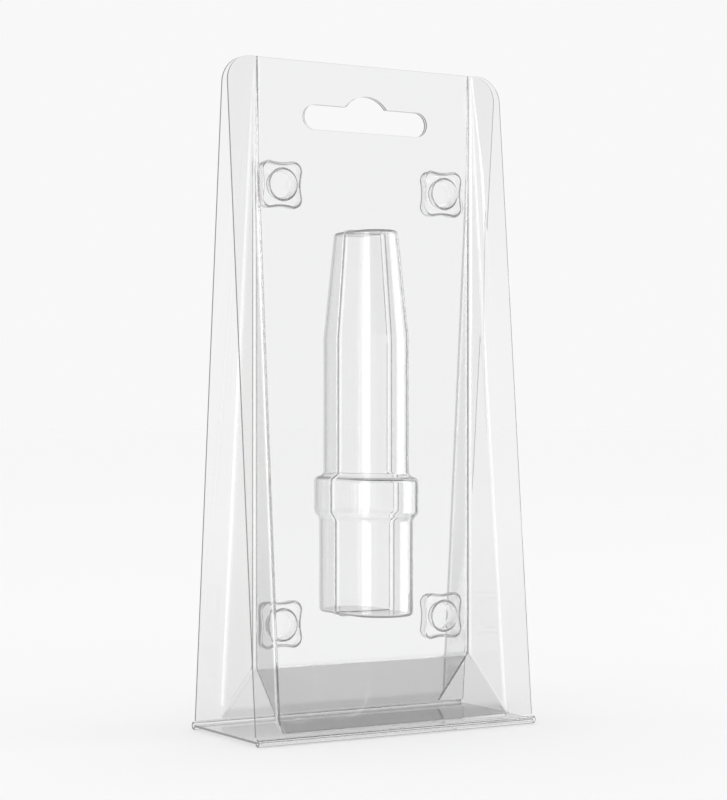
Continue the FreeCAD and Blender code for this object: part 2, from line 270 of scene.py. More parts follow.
def math_node(nodes, links, operation, first, second):
    """A maths node held between 0 and 1, whose inputs are sockets or plain numbers."""
    node = nodes.new("ShaderNodeMath")
    node.operation = operation
    node.use_clamp = True
    feed(links, node.inputs[0], first)
    feed(links, node.inputs[1], second)
    return node.outputs[0]


def smooth_step(nodes, links, value, low, high):
    """Soft step of a socket's value, from 0 at low to 1 at high."""
    node = nodes.new("ShaderNodeMapRange")
    node.interpolation_type = "SMOOTHSTEP"
    links.new(value, node.inputs["Value"])
    feed(links, node.inputs["From Min"], low)
    feed(links, node.inputs["From Max"], high)
    return node.outputs["Result"]


def mixed_colour(nodes, links, blend, first, second):
    """Blend of two colour sockets."""
    node = nodes.new("ShaderNodeMix")
    node.data_type = "RGBA"
    for place, socket in ((0, blend), (6, first), (7, second)):
        links.new(socket, node.inputs[place])
    return node.outputs[2]


def mixed_shader(nodes, links, blend, first, second):
    """Blend of two shaders, the first where the blend is 0."""
    node = nodes.new("ShaderNodeMixShader")
    for place, socket in enumerate((blend, first, second)):
        links.new(socket, node.inputs[place])
    return node.outputs[0]


def waviness_group():
    """Slow and fine ripples of a pressed sheet, as one height value."""
    name = "Sheet waviness"
    if name in bpy.data.node_groups:
        return bpy.data.node_groups[name]
    group = bpy.data.node_groups.new(name, "ShaderNodeTree")
    group.interface.new_socket("Scale", in_out="INPUT", socket_type="NodeSocketFloat")
    group.interface.new_socket("Detail", in_out="INPUT", socket_type="NodeSocketFloat")
    group.interface.new_socket("Height", in_out="OUTPUT", socket_type="NodeSocketFloat")
    nodes, links = group.nodes, group.links
    inputs = nodes.new("NodeGroupInput")
    outputs = nodes.new("NodeGroupOutput")
    place = nodes.new("ShaderNodeTexCoord")
    slow = nodes.new("ShaderNodeTexNoise")
    slow.inputs["Detail"].default_value = 1.0
    fine = nodes.new("ShaderNodeTexNoise")
    fine.inputs["Detail"].default_value = 2.0
    finer = nodes.new("ShaderNodeMath")
    finer.operation = "MULTIPLY"
    finer.inputs[1].default_value = FINE_RIPPLES
    mix = nodes.new("ShaderNodeMix")
    links.new(place.outputs["Object"], slow.inputs["Vector"])
    links.new(place.outputs["Object"], fine.inputs["Vector"])
    links.new(inputs.outputs["Scale"], slow.inputs["Scale"])
    links.new(inputs.outputs["Scale"], finer.inputs[0])
    links.new(finer.outputs[0], fine.inputs["Scale"])
    links.new(inputs.outputs["Detail"], mix.inputs["Factor"])
    links.new(slow.outputs["Fac"], mix.inputs[2])
    links.new(fine.outputs["Fac"], mix.inputs[3])
    links.new(mix.outputs[0], outputs.inputs["Height"])
    return group


def tone_and_shade_group():
    """Colour of the sheet: clear on the panel, a little greyer on the wings, and painted shade on the two
    ramps and at the foot of the wings, darkest at the foot of the ramps.
    """
    name = "Sheet tone and painted shade"
    if name in bpy.data.node_groups:
        return bpy.data.node_groups[name]
    group = bpy.data.node_groups.new(name, "ShaderNodeTree")
    for label in ("Panel", "Wing", "Wing foot", "Ramp", "Ramp foot"):
        group.interface.new_socket(label, in_out="INPUT", socket_type="NodeSocketColor")
    for label, size in TONE_AND_SHADE_SIZES:
        socket = group.interface.new_socket(label, in_out="INPUT", socket_type="NodeSocketFloat")
        socket.default_value = size
    group.interface.new_socket("Color", in_out="OUTPUT", socket_type="NodeSocketColor")
    nodes, links = group.nodes, group.links
    inputs = nodes.new("NodeGroupInput").outputs
    outputs = nodes.new("NodeGroupOutput")
    place = nodes.new("ShaderNodeTexCoord")
    split = nodes.new("ShaderNodeSeparateXYZ")
    links.new(place.outputs["Object"], split.inputs[0])
    height = split.outputs["Z"]

    def banded(band, start, foot, rest):
        """Painted shade colour below a share of the band's height, and the other colour above the band."""
        low = math_node(nodes, links, "MULTIPLY", inputs[band], start)
        fade = smooth_step(nodes, links, height, low, inputs[band])
        return mixed_colour(nodes, links, fade, inputs[foot], inputs[rest])

    # Painted shade: the ramps darken towards their foot
    ramp = banded("Ramp shade band", RAMP_SHADE_START, "Ramp foot", "Ramp")
    # Painted shade: the wings darken towards their foot
    wing = banded("Wing shade band", WING_SHADE_START, "Wing foot", "Wing")
    side = math_node(nodes, links, "ABSOLUTE", split.outputs["X"], 0.0)
    facing = nodes.new("ShaderNodeSeparateXYZ")
    links.new(place.outputs["Normal"], facing.inputs[0])
    lean = math_node(nodes, links, "ABSOLUTE", facing.outputs["Z"], 0.0)
    sloping = math_node(nodes, links, "GREATER_THAN", lean, inputs["Ramp slope"])
    # Mask of the sloping ramp under the panel, which gets painted shade
    low = math_node(nodes, links, "LESS_THAN", height, inputs["Ramp top"])
    within = math_node(nodes, links, "LESS_THAN", side, inputs["Ramp half width"])
    ramp_shade_mask = math_node(nodes, links, "MULTIPLY", math_node(nodes, links, "MULTIPLY", low, sloping), within)
    wide = math_node(nodes, links, "GREATER_THAN", side, inputs["Tray half width"])
    tone = mixed_colour(nodes, links, wide, inputs["Panel"], wing)
    tone = mixed_colour(nodes, links, ramp_shade_mask, tone, ramp)
    links.new(tone, outputs.inputs["Color"])
    return group


def clear_sheet(name, ior, glow_strength, ripple_form, with_tone_and_shade=False):
    """Clear pressed sheet: refracting, with slow ripples, a soft see-through shadow, a painted glow where a
    path is cut off, and painted shade on the ramps and wing feet if asked.
    """
    sheet = bpy.context.scene.pack_sheet
    material = bpy.data.materials.new(name)
    nodes, links = new_tree(material)
    output = nodes.new("ShaderNodeOutputMaterial")
    shader = nodes.new("ShaderNodeBsdfPrincipled")
    shader.inputs["Base Color"].default_value = (*sheet.tint, 1.0)
    if with_tone_and_shade:
        # Painted shade on the ramps and at the foot of the wings, mixed into the sheet's colour
        tone = nodes.new("ShaderNodeGroup")
        tone.node_tree = tone_and_shade_group()
        tints_and_shades = (("Panel", sheet.tint), ("Wing", sheet.wing_tint), ("Wing foot", sheet.wing_foot_painted_shade),
                 ("Ramp", sheet.ramp_painted_shade), ("Ramp foot", sheet.ramp_foot_painted_shade))
        for label, tint in tints_and_shades:
            tone.inputs[label].default_value = (*tint, 1.0)
        links.new(tone.outputs["Color"], shader.inputs["Base Color"])
    shader.inputs["Metallic"].default_value = 0.0
    shader.inputs["Roughness"].default_value = 0.0
    shader.inputs["IOR"].default_value = ior
    shader.inputs["Transmission Weight"].default_value = 1.0
    ripples = nodes.new("ShaderNodeGroup")
    ripples.node_tree = waviness_group()
    ripples.inputs["Scale"].default_value, ripples.inputs["Detail"].default_value = ripple_form
    bump = nodes.new("ShaderNodeBump")
    bump.inputs["Strength"].default_value = 1.0
    bump.inputs["Distance"].default_value = sheet.waviness
    links.new(ripples.outputs["Height"], bump.inputs["Height"])
    links.new(bump.outputs["Normal"], shader.inputs["Normal"])
    clear = nodes.new("ShaderNodeBsdfTransparent")
    clear.inputs["Color"].default_value = (sheet.shade, sheet.shade, sheet.shade, 1.0)
    # Painted light: where a path is cut off after too many bounces, the sheet glows in place of the light it
    # would let through
    glow = nodes.new("ShaderNodeEmission")
    glow.inputs["Strength"].default_value = glow_strength
    path = nodes.new("ShaderNodeLightPath").outputs
    unlit = math_node(nodes, links, "MAXIMUM", path["Is Shadow Ray"], path["Is Diffuse Ray"])
    mirrored = math_node(nodes, links, "GREATER_THAN", path["Glossy Depth"], MIRROR_LIMIT)
    long = math_node(nodes, links, "GREATER_THAN", path["Ray Depth"], PATH_LIMIT)
    lost = math_node(nodes, links, "MAXIMUM", mirrored, long)
    surface = mixed_shader(nodes, links, lost, shader.outputs["BSDF"], glow.outputs["Emission"])
    surface = mixed_shader(nodes, links, unlit, surface, clear.outputs["BSDF"])
    links.new(surface, output.inputs["Surface"])
    material.cycles.emission_sampling = "NONE"
    return material


def shell_material():
    """Clear finish that both shells share, with painted shade on the ramps and at the foot of the wings."""
    sheet = bpy.context.scene.pack_sheet
    name = "clear_shell"
    if name in bpy.data.materials:
        return bpy.data.materials[name]
    return clear_sheet(name, sheet.ior, sheet.shell_glow, SHELL_RIPPLES, with_tone_and_shade=True)


def foot_material():
    """Clear finish of the foot panel, with finer ripples."""
    sheet = bpy.context.scene.pack_sheet
    return clear_sheet("clear_foot", sheet.foot_ior, sheet.foot_glow, FOOT_RIPPLES)


def dress(obj, material):
    """Give an object one material in place of what it has."""
    obj.data.materials.clear()
    obj.data.materials.append(material)


# Shell form


class Skin:
    """Front skin of a shell, grown feature by feature and welded at the end."""

    def __init__(self):
        self.points = []
        self.faces = []

    def add(self, points):
        """Keep points, and return their numbers."""
        first = len(self.points)
        self.points.extend(Vector(point) for point in points)
        return list(range(first, len(self.points)))

    def strips(self, runs, closed=False):
        """Quads between each run of points and the next."""
        rows = [self.add(run) for run in runs]
        count = len(rows[0])
        for low, high in zip(rows, rows[1:]):
            for i in range(count if closed else count - 1):
                j = (i + 1) % count
                self.faces.append((low[i], low[j], high[j], high[i]))

    def cap(self, points):
        """One flat face through a closed run of points."""
        self.faces.append(tuple(self.add(points)))

    def fill_flat(self, outer, holes, y):
        """Triangles of the flat panel between its outline and the features pressed into it."""
        loops = [outer] + holes
        flat, edges = [], []
        for loop in loops:
            first = len(flat)
            flat.extend(Vector((p[0], p[2])) for p in loop)
            edges.extend((first + i, first + (i + 1) % len(loop)) for i in range(len(loop)))
        spots, _, triangles, _, _, _ = delaunay_2d_cdt(flat, edges, [], 0, PANEL_WELD)
        shapes = [[(p[0], p[2]) for p in loop] for loop in loops]
        places = self.add((spot.x, y, spot.y) for spot in spots)
        for triangle in triangles:
            middle = sum((spots[i] for i in triangle), Vector((0.0, 0.0))) / 3
            if inside(middle, shapes[0]) and not any(inside(middle, shape) for shape in shapes[1:]):
                self.faces.append(tuple(places[i] for i in triangle))


def inside(spot, loop):
    """Whether a flat spot lies within a closed loop of (x, z) points."""
    crossings = False
    for (x0, z0), (x1, z1) in zip(loop, loop[1:] + loop[:1]):
        if (z0 > spot.y) != (z1 > spot.y) and spot.x < (x1 - x0) * (spot.y - z0) / (z1 - z0) + x0:
            crossings = not crossings
    return crossings


def steps(start, end, count):
    """Even steps from start to end, both included."""
    return [start + (end - start) * i / count for i in range(count + 1)]


def arc(middle, radius, start, end, count):
    """Points round a middle, from one angle to another."""
    x, y = middle
    return [(x + radius * math.cos(a), y + radius * math.sin(a)) for a in steps(start, end, count)]


def panel_y(form):
    """Front face of the middle panel."""
    return -(form.panel_gap + form.sheet)


def wing_y(form, z):
    """Front face of the sloping wings at a height."""
    slope = (-form.wing_top - form.wing_foot) / (form.height - form.foot_clear)
    return form.wing_foot + slope * (z - form.foot_clear)


def wall_x(form, y):
    """Half width of the tray at a depth, between its drafted side walls."""
    crease = form.width / 2 - form.wing_width
    return crease + math.tan(form.tray_draft) * (form.wing_foot - y)


def ramp_line(form):
    """Slope of the ramp and the height at which its front skin would meet the middle plane."""
    run = -form.wing_foot
    rise = form.ramp_top - form.foot_clear
    return rise / run, form.ramp_top + form.sheet * math.hypot(run, rise) / run


def back_y(form, z):
    """Front skin of the middle panel and of the ramp under it, with a rounded bend between them."""
    slope, level = ramp_line(form)
    panel = panel_y(form)
    radius = form.ramp_radius
    stretch = math.hypot(1.0, slope)
    middle_y = panel - radius
    middle_z = level + slope * middle_y + radius * stretch
    if z >= middle_z:
        return panel
    if z > middle_z - radius / stretch:
        return middle_y + math.sqrt(radius ** 2 - (z - middle_z) ** 2)
    return (z - level) / slope


def tray_depth(form, z):
    """Depth of the tray behind the wings at a height, eased out where the ramp runs into the wings."""
    depth = back_y(form, z) - wing_y(form, z)
    ease = EASE_SHARE * form.least_radius
    if depth >= ease:
        return depth
    if depth <= -ease:
        return 0.0
    return (depth + ease) ** 2 / (4 * ease)


def tray_section(form, z):
    """Front skin across one half of the tray at a height, from its crease in to the panel, as (x, y)."""
    wing = wing_y(form, z)
    depth = tray_depth(form, z)
    lean = form.tray_draft
    shrink = min(depth / ((form.tray_radius + form.crease_radius) * (1 - math.sin(lean))), 1.0)
    inner = max(form.tray_radius * shrink, form.least_radius)
    outer = max(form.crease_radius * shrink, form.least_radius)
    inner_y = wing + depth - inner
    outer_y = wing + outer
    inner_x = wall_x(form, inner_y) - inner / math.cos(lean)
    if depth >= (inner + outer) * (1 - math.sin(lean)):
        outer_x = wall_x(form, outer_y) + outer / math.cos(lean)
        turn = lean
    else:
        rise = inner + outer - depth
        outer_x = inner_x + math.sqrt(max((inner + outer) ** 2 - rise ** 2, 0.0))
        turn = math.atan2(rise, outer_x - inner_x)
    bend = arc((outer_x, outer_y), -outer, math.pi / 2, turn, 10)
    corner = arc((inner_x, inner_y), inner, turn, math.pi / 2, 10)
    return bend + corner


def tray_rows(form):
    """Heights of the rows of the tray, close together where its form changes."""
    slope, level = ramp_line(form)
    stretch = math.hypot(1.0, slope)
    bend_top = level + slope * (panel_y(form) - form.ramp_radius) + form.ramp_radius * stretch
    bend_foot = bend_top - form.ramp_radius / stretch
    foot = form.foot_clear + form.foot_trim
    rows = steps(foot, foot + FOOT_ROWS, 6) + steps(foot + FOOT_ROWS, foot + LOW_ROWS, 10)[1:]
    rows += steps(foot + LOW_ROWS, bend_foot, 4)[1:] + steps(bend_foot, bend_top, 12)[1:]
    flat_from = len(rows) - 1
    corner_foot = form.height - form.wing_corner
    rows += steps(bend_top, TOP_ROWS, 3)[1:] + steps(TOP_ROWS, corner_foot, 12)[1:]
    rows += [corner_foot + form.wing_corner * math.sin(a) for a in steps(0.0, math.pi / 2, 16)[1:]]
    return rows, flat_from


def wing_edge(form, z):
    """Half width of the wings at a height, with their rounded top corners."""
    rise = max(z - (form.height - form.wing_corner), 0.0)
    return form.width / 2 - form.wing_corner + math.sqrt(max(form.wing_corner ** 2 - rise ** 2, 0.0))


def press_tray(skin, form):
    """Wings, creases, side walls and ramp. Returns the outline of the flat panel between them."""
    rows, flat_from = tray_rows(form)
    for side in (-1, 1):
        runs = []
        for z in rows:
            section = [(wing_edge(form, z), wing_y(form, z))] + tray_section(form, z)
            runs.append([(side * x, y, z) for x, y in section])
        skin.strips(runs)
    edge = [(tray_section(form, z)[-1], z) for z in rows]
    ramp = edge[:flat_from + 1]
    skin.strips([[(side * x, y, z) for side in (-1, 1)] for (x, y), z in ramp])
    panel = edge[flat_from:]
    return [(x, y, z) for (x, y), z in panel] + [(-x, y, z) for (x, y), z in reversed(panel)]


def rounded_run(corners, radius):
    """Run of points through corners, each inner corner eased over a reach along its two sides."""
    corners = [Vector(corner) for corner in corners]
    run = [corners[0]]
    for i in range(1, len(corners) - 1):
        corner = corners[i]
        back, ahead = corners[i - 1] - corner, corners[i + 1] - corner
        back_share = 1.0 if i == 1 else CORNER_SHARE
        ahead_share = 1.0 if i == len(corners) - 2 else CORNER_SHARE
        reach = min(radius, back_share * back.length, ahead_share * ahead.length)
        start, end = corner + back.normalized() * reach, corner + ahead.normalized() * reach
        for t in steps(0.0, 1.0, 8):
            point = start * (1 - t) ** 2 + corner * 2 * t * (1 - t) + end * t ** 2
            if (point - run[-1]).length > LEAST_STEP:
                run.append(point)
    if (corners[-1] - run[-1]).length > LEAST_STEP:
        run.append(corners[-1])
    return run


def cavity_profile(form):
    """Outline of the cavity along its length, from one flat end round to the other.

    Each point is (height, half width, depth of the side walls).
    """
    low = form.cavity_foot
    collar = low + form.lower_length
    tube = collar + form.collar_length + form.shoulder
    taper = tube + form.tube_length
    high = low + form.cavity_length
    wide, wider, slim, mouth = form.lower_half, form.collar_half, form.tube_half, form.mouth_half
    deep, shallow, least = form.lower_depth, form.tube_depth, form.mouth_depth
    corners = [
        (low, wide - form.end_radius, deep), (low, wide, deep), (collar, wide, deep),
        (collar + form.collar_bevel, wider, deep), (tube - form.shoulder, wider, deep),
        (tube, slim, shallow), (taper, slim, shallow), (high, mouth, least),
        (high, mouth - form.end_radius, least),
    ]
    return rounded_run(corners, form.end_radius)


def cavity_row(form, place):
    """Front skin across the cavity at one point of its profile, from one root to the other."""
    z, half, depth = place
    panel = panel_y(form)
    lean = form.cavity_draft
    radius = half * math.cos(lean) - depth * math.sin(lean)
    middle = panel - depth
    root = half - form.root_radius * math.tan(lean)
    start = panel - form.root_radius
    foot = (radius * math.cos(lean), middle - radius * math.sin(lean))
    wall = [(root + (foot[0] - root) * t, start + (foot[1] - start) * t) for t in steps(0.0, 1.0, 3)[:-1]]
    front = [(radius * math.cos(a), middle - radius * math.sin(a)) for a in steps(lean, math.pi / 2, 16)]
    half_row = wall + front
    row = half_row + [(-x, y) for x, y in reversed(half_row[:-1])]
    return [(x, y, z) for x, y in row]


def grown_loop(loop, growth, y):
    """Closed loop of (x, z) moved outward by a growth. The loop runs anticlockwise seen from the front."""
    moved = []
    count = len(loop)
    for i in range(count):
        (x0, z0), (x1, z1), (x2, z2) = loop[i - 1], loop[i], loop[(i + 1) % count]
        first = Vector((z1 - z0, x0 - x1)).normalized()
        second = Vector((z2 - z1, x1 - x2)).normalized()
        normal = first + second
        normal = normal / max(normal.dot(first), CORNER_LIMIT)
        moved.append((x1 + growth * normal.x, y, z1 + growth * normal.y))
    return moved


def round_root(skin, form, loop, radius):
    """Rounded root of a feature that stands forward. Returns its outline on the panel."""
    panel = panel_y(form)
    runs = []
    for a in steps(0.0, math.pi / 2, 7):
        runs.append(grown_loop(loop, radius * (1 - math.cos(a)), panel - radius * (1 - math.sin(a))))
    skin.strips(runs, closed=True)
    return runs[-1]


def press_cavity(skin, form):
    """Cavity for the slim capped tube. Returns its outline on the panel."""
    rows = [cavity_row(form, place) for place in cavity_profile(form)]
    skin.strips(rows)
    ends = []
    for row in (rows[-1], rows[0]):
        right, left = Vector(row[0]), Vector(row[-1])
        base = [right + (left - right) * t for t in steps(0.0, 1.0, 8)]
        skin.cap(row + [tuple(point) for point in reversed(base[1:-1])])
        ends.append([(point.x, point.z) for point in base])
    right_side = [(row[0][0], row[0][2]) for row in rows]
    left_side = [(row[-1][0], row[-1][2]) for row in reversed(rows)]
    loop = right_side[:-1] + ends[0] + left_side[1:-1] + list(reversed(ends[1]))[:-1]
    return round_root(skin, form, loop, form.root_radius)


def circle(x, z, radius, y, count=56):
    """Ring of points round (x, z) at a depth."""
    return [(px, y, pz) for px, pz in arc((x, z), radius, 0.0, 2 * math.pi, count)[:-1]]


def snap_places(form):
    """Middle of each of the four snaps, as (x, z)."""
    for z in (form.snap_low, form.height - form.snap_drop):
        for side in (-1, 1):
            yield side * form.snap_spacing / 2, z


def press_buttons(skin, form):
    """Four round buttons that point back. Returns their outlines on the panel."""
    panel = panel_y(form)
    outlines = []
    mouth = form.sheet + BUTTON_MOUTH
    wide = form.button_radius - form.sheet
    slim = form.button_tip - form.sheet
    floor_y = form.button_reach - form.sheet
    for x, z in snap_places(form):
        runs = []
        for a in steps(0.0, math.pi / 2, 7):
            runs.append(circle(x, z, wide + mouth * (1 - math.sin(a)), panel + mouth * (1 - math.cos(a))))
        for a in steps(0.0, math.pi / 2, 6):
            radius = slim - BUTTON_FLOOR * (1 - math.cos(a))
            runs.append(circle(x, z, radius, floor_y - BUTTON_FLOOR * (1 - math.sin(a))))
        skin.strips(runs, closed=True)
        skin.cap(runs[-1])
        outlines.append(runs[0])
    return outlines


def lobed_square(form, x, z, growth):
    """Square with a round lobe at each corner and a shallow waist along each side, as (x, z) points."""
    lobe = form.pocket_half - form.pocket_lobe
    reach = form.pocket_lobe - form.pocket_waist
    waist = (lobe ** 2 + reach ** 2 - form.pocket_lobe ** 2) / (2 * form.pocket_waist)
    far = waist + form.pocket_half - form.pocket_waist
    lean = math.atan2(lobe, far - lobe)
    hollow = waist - growth
    quarter = [(far - hollow * math.cos(a), hollow * math.sin(a)) for a in steps(-lean, lean, 6)]
    quarter += arc((lobe, lobe), form.pocket_lobe + growth, -lean, math.pi / 2 + lean, 10)[1:-1]
    loop = []
    for turn in range(4):
        c, s = math.cos(turn * math.pi / 2), math.sin(turn * math.pi / 2)
        loop += [(x + px * c - pz * s, z + px * s + pz * c) for px, pz in quarter]
    return loop


def press_pockets(skin, form):
    """Four lobed pockets that stand forward. Returns their outlines on the panel."""
    outlines = []
    top = -(form.button_reach + form.pocket_clearance + form.sheet)
    for x, z in snap_places(form):
        loop = lobed_square(form, x, z, form.sheet)
        runs = []
        for a in steps(0.0, math.pi / 2, 7):
            growth = form.sheet - POCKET_EDGE * (1 - math.cos(a))
            y = top + POCKET_EDGE * (1 - math.sin(a))
            runs.append([(px, y, pz) for px, pz in lobed_square(form, x, z, growth)])
        skin.cap(runs[-1])
        foot_y = panel_y(form) - POCKET_ROOT
        runs.insert(0, [(px, foot_y, pz) for px, pz in loop])
        skin.strips(runs, closed=True)
        outlines.append(round_root(skin, form, loop, POCKET_ROOT))
    return outlines


def slot_outline(form):
    """Round-ended hang slot with a low dome in the middle of its top edge."""
    panel = panel_y(form)
    end = form.slot_height / 2
    half = form.slot_width / 2 - end
    middle = form.height - form.slot_drop
    dome = form.dome_width / 2
    radius = (dome ** 2 + form.dome_rise ** 2) / (2 * form.dome_rise)
    sweep = math.asin(dome / radius)
    right = arc((half, middle), end, -math.pi / 2, math.pi / 2, 16)
    top = [
        (radius * math.sin(a), middle + end + form.dome_rise - radius * (1 - math.cos(a)))
        for a in steps(sweep, -sweep, 16)
    ]
    left = [(-x, z) for x, z in reversed(right)]
    return [(x, panel, z) for x, z in right + top + left]


def shell_mesh(form, name, press_snaps, mirrored):
    """Front skin of a whole shell, welded, and mirrored for the rear shell."""
    skin = Skin()
    outer = press_tray(skin, form)
    holes = [press_cavity(skin, form)] + press_snaps(skin, form) + [slot_outline(form)]
    skin.fill_flat(outer, holes, panel_y(form))
    mesh = bpy.data.meshes.new(name)
    mesh.from_pydata(skin.points, [], skin.faces)
    welded = bmesh.new()
    welded.from_mesh(mesh)
    bmesh.ops.remove_doubles(welded, verts=welded.verts, dist=WELD)
    bmesh.ops.recalc_face_normals(welded, faces=welded.faces)
    widest = max(welded.faces, key=lambda face: face.calc_area())
    if widest.normal.y > 0:
        bmesh.ops.reverse_faces(welded, faces=welded.faces)
    if mirrored:
        bmesh.ops.scale(welded, vec=(1.0, -1.0, 1.0), verts=welded.verts)
        bmesh.ops.reverse_faces(welded, faces=welded.faces)
    welded.to_mesh(mesh)
    welded.free()
    return mesh


def make_shell(form, name, press_snaps, mirrored, material):
    """Shell as an object: its skin thickened, smoothed and dressed."""
    mesh = shell_mesh(form, name, press_snaps, mirrored)
    shell = bpy.data.objects.new(name, mesh)
    bpy.context.scene.collection.objects.link(shell)
    thick = shell.modifiers.new("Sheet", "SOLIDIFY")
    thick.thickness = form.sheet
    thick.offset = -1.0
    thick.use_even_offset = True
    thick.use_quality_normals = True
    bpy.context.view_layer.update()
    whole = bpy.data.meshes.new_from_object(shell.evaluated_get(bpy.context.evaluated_depsgraph_get()))
    shell.modifiers.clear()
    shell.data = whole
    whole.name = name
    whole.shade_smooth()
    whole.set_sharp_from_angle(angle=SHARP_ANGLE)
    weights = shell.modifiers.new("Flat faces stay flat", "WEIGHTED_NORMAL")
    weights.keep_sharp = True
    weights.weight = 100
    dress(shell, material)
    return shell


# Pieces


class PACK_OT_foot(bpy.types.Operator):
    """Give the foot panel and its beads their clear finish"""
    bl_idname = "pack.foot"
    bl_label = "Foot panel"

    def execute(self, context):
        dress(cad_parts["base_panel"], foot_material())
        return {"FINISHED"}


class PACK_OT_front_shell(bpy.types.Operator):
    """Build the front shell with its cavity half and four snap buttons"""
    bl_idname = "pack.front_shell"
    bl_label = "Front shell"

    def execute(self, context):
        form = context.scene.pack_form
        shell = make_shell(form, "front_shell_sheet", press_buttons, False, shell_material())
        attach(shell, "front_shell")
        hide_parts("front_shell")
        return {"FINISHED"}


class PACK_OT_rear_shell(bpy.types.Operator):
    """Build the rear shell with its cavity half and four snap pockets"""
    bl_idname = "pack.rear_shell"
    bl_label = "Rear shell"

    def execute(self, context):
        form = context.scene.pack_form
        shell = make_shell(form, "rear_shell_sheet", press_pockets, True, shell_material())
        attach(shell, "rear_shell")
        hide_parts("rear_shell")
        return {"FINISHED"}


# Stage


def stage_floor():
    """Pale floor under the pack, which mirrored light passes through."""
    settings = bpy.context.scene.pack_stage
    mesh = bpy.data.meshes.new("floor")
    signs = ((-1, -1), (1, -1), (1, 1), (-1, 1))
    mesh.from_pydata([(FLOOR_REACH * x, FLOOR_REACH * y, 0.0) for x, y in signs], [], [(0, 1, 2, 3)])
    floor = bpy.data.objects.new("floor", mesh)
    bpy.context.scene.collection.objects.link(floor)
    floor.location.z = CAD_BOX[0][2] - FLOOR_DROP
    material = bpy.data.materials.new("pale_floor")
    nodes, links = new_tree(material)
    output = nodes.new("ShaderNodeOutputMaterial")
    shader = nodes.new("ShaderNodeBsdfPrincipled")
    shader.inputs["Base Color"].default_value = (settings.floor, settings.floor, settings.floor, 1.0)
    shader.inputs["Roughness"].default_value = 0.9
    shader.inputs["Specular IOR Level"].default_value = 0.0
    clear = nodes.new("ShaderNodeBsdfTransparent")
    path = nodes.new("ShaderNodeLightPath")
    bounced = math_node(nodes, links, "MINIMUM", path.outputs["Glossy Depth"], 1.0)
    surface = mixed_shader(nodes, links, bounced, shader.outputs["BSDF"], clear.outputs["BSDF"])
    links.new(surface, output.inputs["Surface"])
    mesh.materials.append(material)


def grey_light(nodes, strength):
    """Even grey light of the world."""
    node = nodes.new("ShaderNodeBackground")
    node.inputs["Color"].default_value = (1.0, 1.0, 1.0, 1.0)
    node.inputs["Strength"].default_value = strength
    return node.outputs[0]


def mirrored_room(nodes, links, direction, rise):
    """Grey room that the sheet mirrors, darker above the pack, on its right and on its left rear."""
    settings = bpy.context.scene.pack_stage
    low_room = grey_light(nodes, settings.room)
    high_room = grey_light(nodes, settings.high_room)
    room = mixed_shader(nodes, links, smooth_step(nodes, links, rise, *HIGH_ROOM_RISE), low_room, high_room)
    darker_sides = ((*SIDE_ROOM, settings.side_room), (*BACK_ROOM, settings.back_room))
    for bearing, half_width, strength in darker_sides:
        aside = nodes.new("ShaderNodeVectorMath")
        aside.operation = "DOT_PRODUCT"
        turn = math.radians(bearing)
        aside.inputs[1].default_value = (math.sin(turn), -math.cos(turn), 0.0)
        links.new(direction, aside.inputs[0])
        outer, inner = (math.cos(math.radians(half_width + fade)) for fade in (ROOM_FADE, -ROOM_FADE))
        near = smooth_step(nodes, links, aside.outputs["Value"], outer, inner)
        room = mixed_shader(nodes, links, near, room, grey_light(nodes, strength))
    return room


def stage_world():
    """White backdrop all round, and a greyer room that only the sheet mirrors."""
    settings = bpy.context.scene.pack_stage
    world = bpy.data.worlds.new("studio")
    bpy.context.scene.world = world
    nodes, links = new_tree(world)
    output = nodes.new("ShaderNodeOutputWorld")
    path = nodes.new("ShaderNodeLightPath").outputs
    direction = nodes.new("ShaderNodeTexCoord").outputs["Generated"]
    split = nodes.new("ShaderNodeSeparateXYZ")
    links.new(direction, split.inputs[0])
    rise = split.outputs["Z"]
    looked = math_node(nodes, links, "MAXIMUM", path["Is Glossy Ray"], path["Is Transmission Ray"])
    seen = math_node(nodes, links, "MAXIMUM", looked, path["Is Camera Ray"])
    bounced = math_node(nodes, links, "MINIMUM", path["Glossy Depth"], 1.0)
    mirrored = math_node(nodes, links, "MULTIPLY", bounced, looked)
    above = smooth_step(nodes, links, rise, *CEILING_RISE)
    overhead = math_node(nodes, links, "MULTIPLY", above, looked)
    light = grey_light(nodes, settings.floor_light)
    white = grey_light(nodes, settings.backdrop)
    shade = mixed_shader(nodes, links, seen, light, white)
    shade = mixed_shader(nodes, links, mirrored, shade, mirrored_room(nodes, links, direction, rise))
    shade = mixed_shader(nodes, links, overhead, shade, grey_light(nodes, settings.ceiling))
    links.new(shade, output.inputs["Surface"])


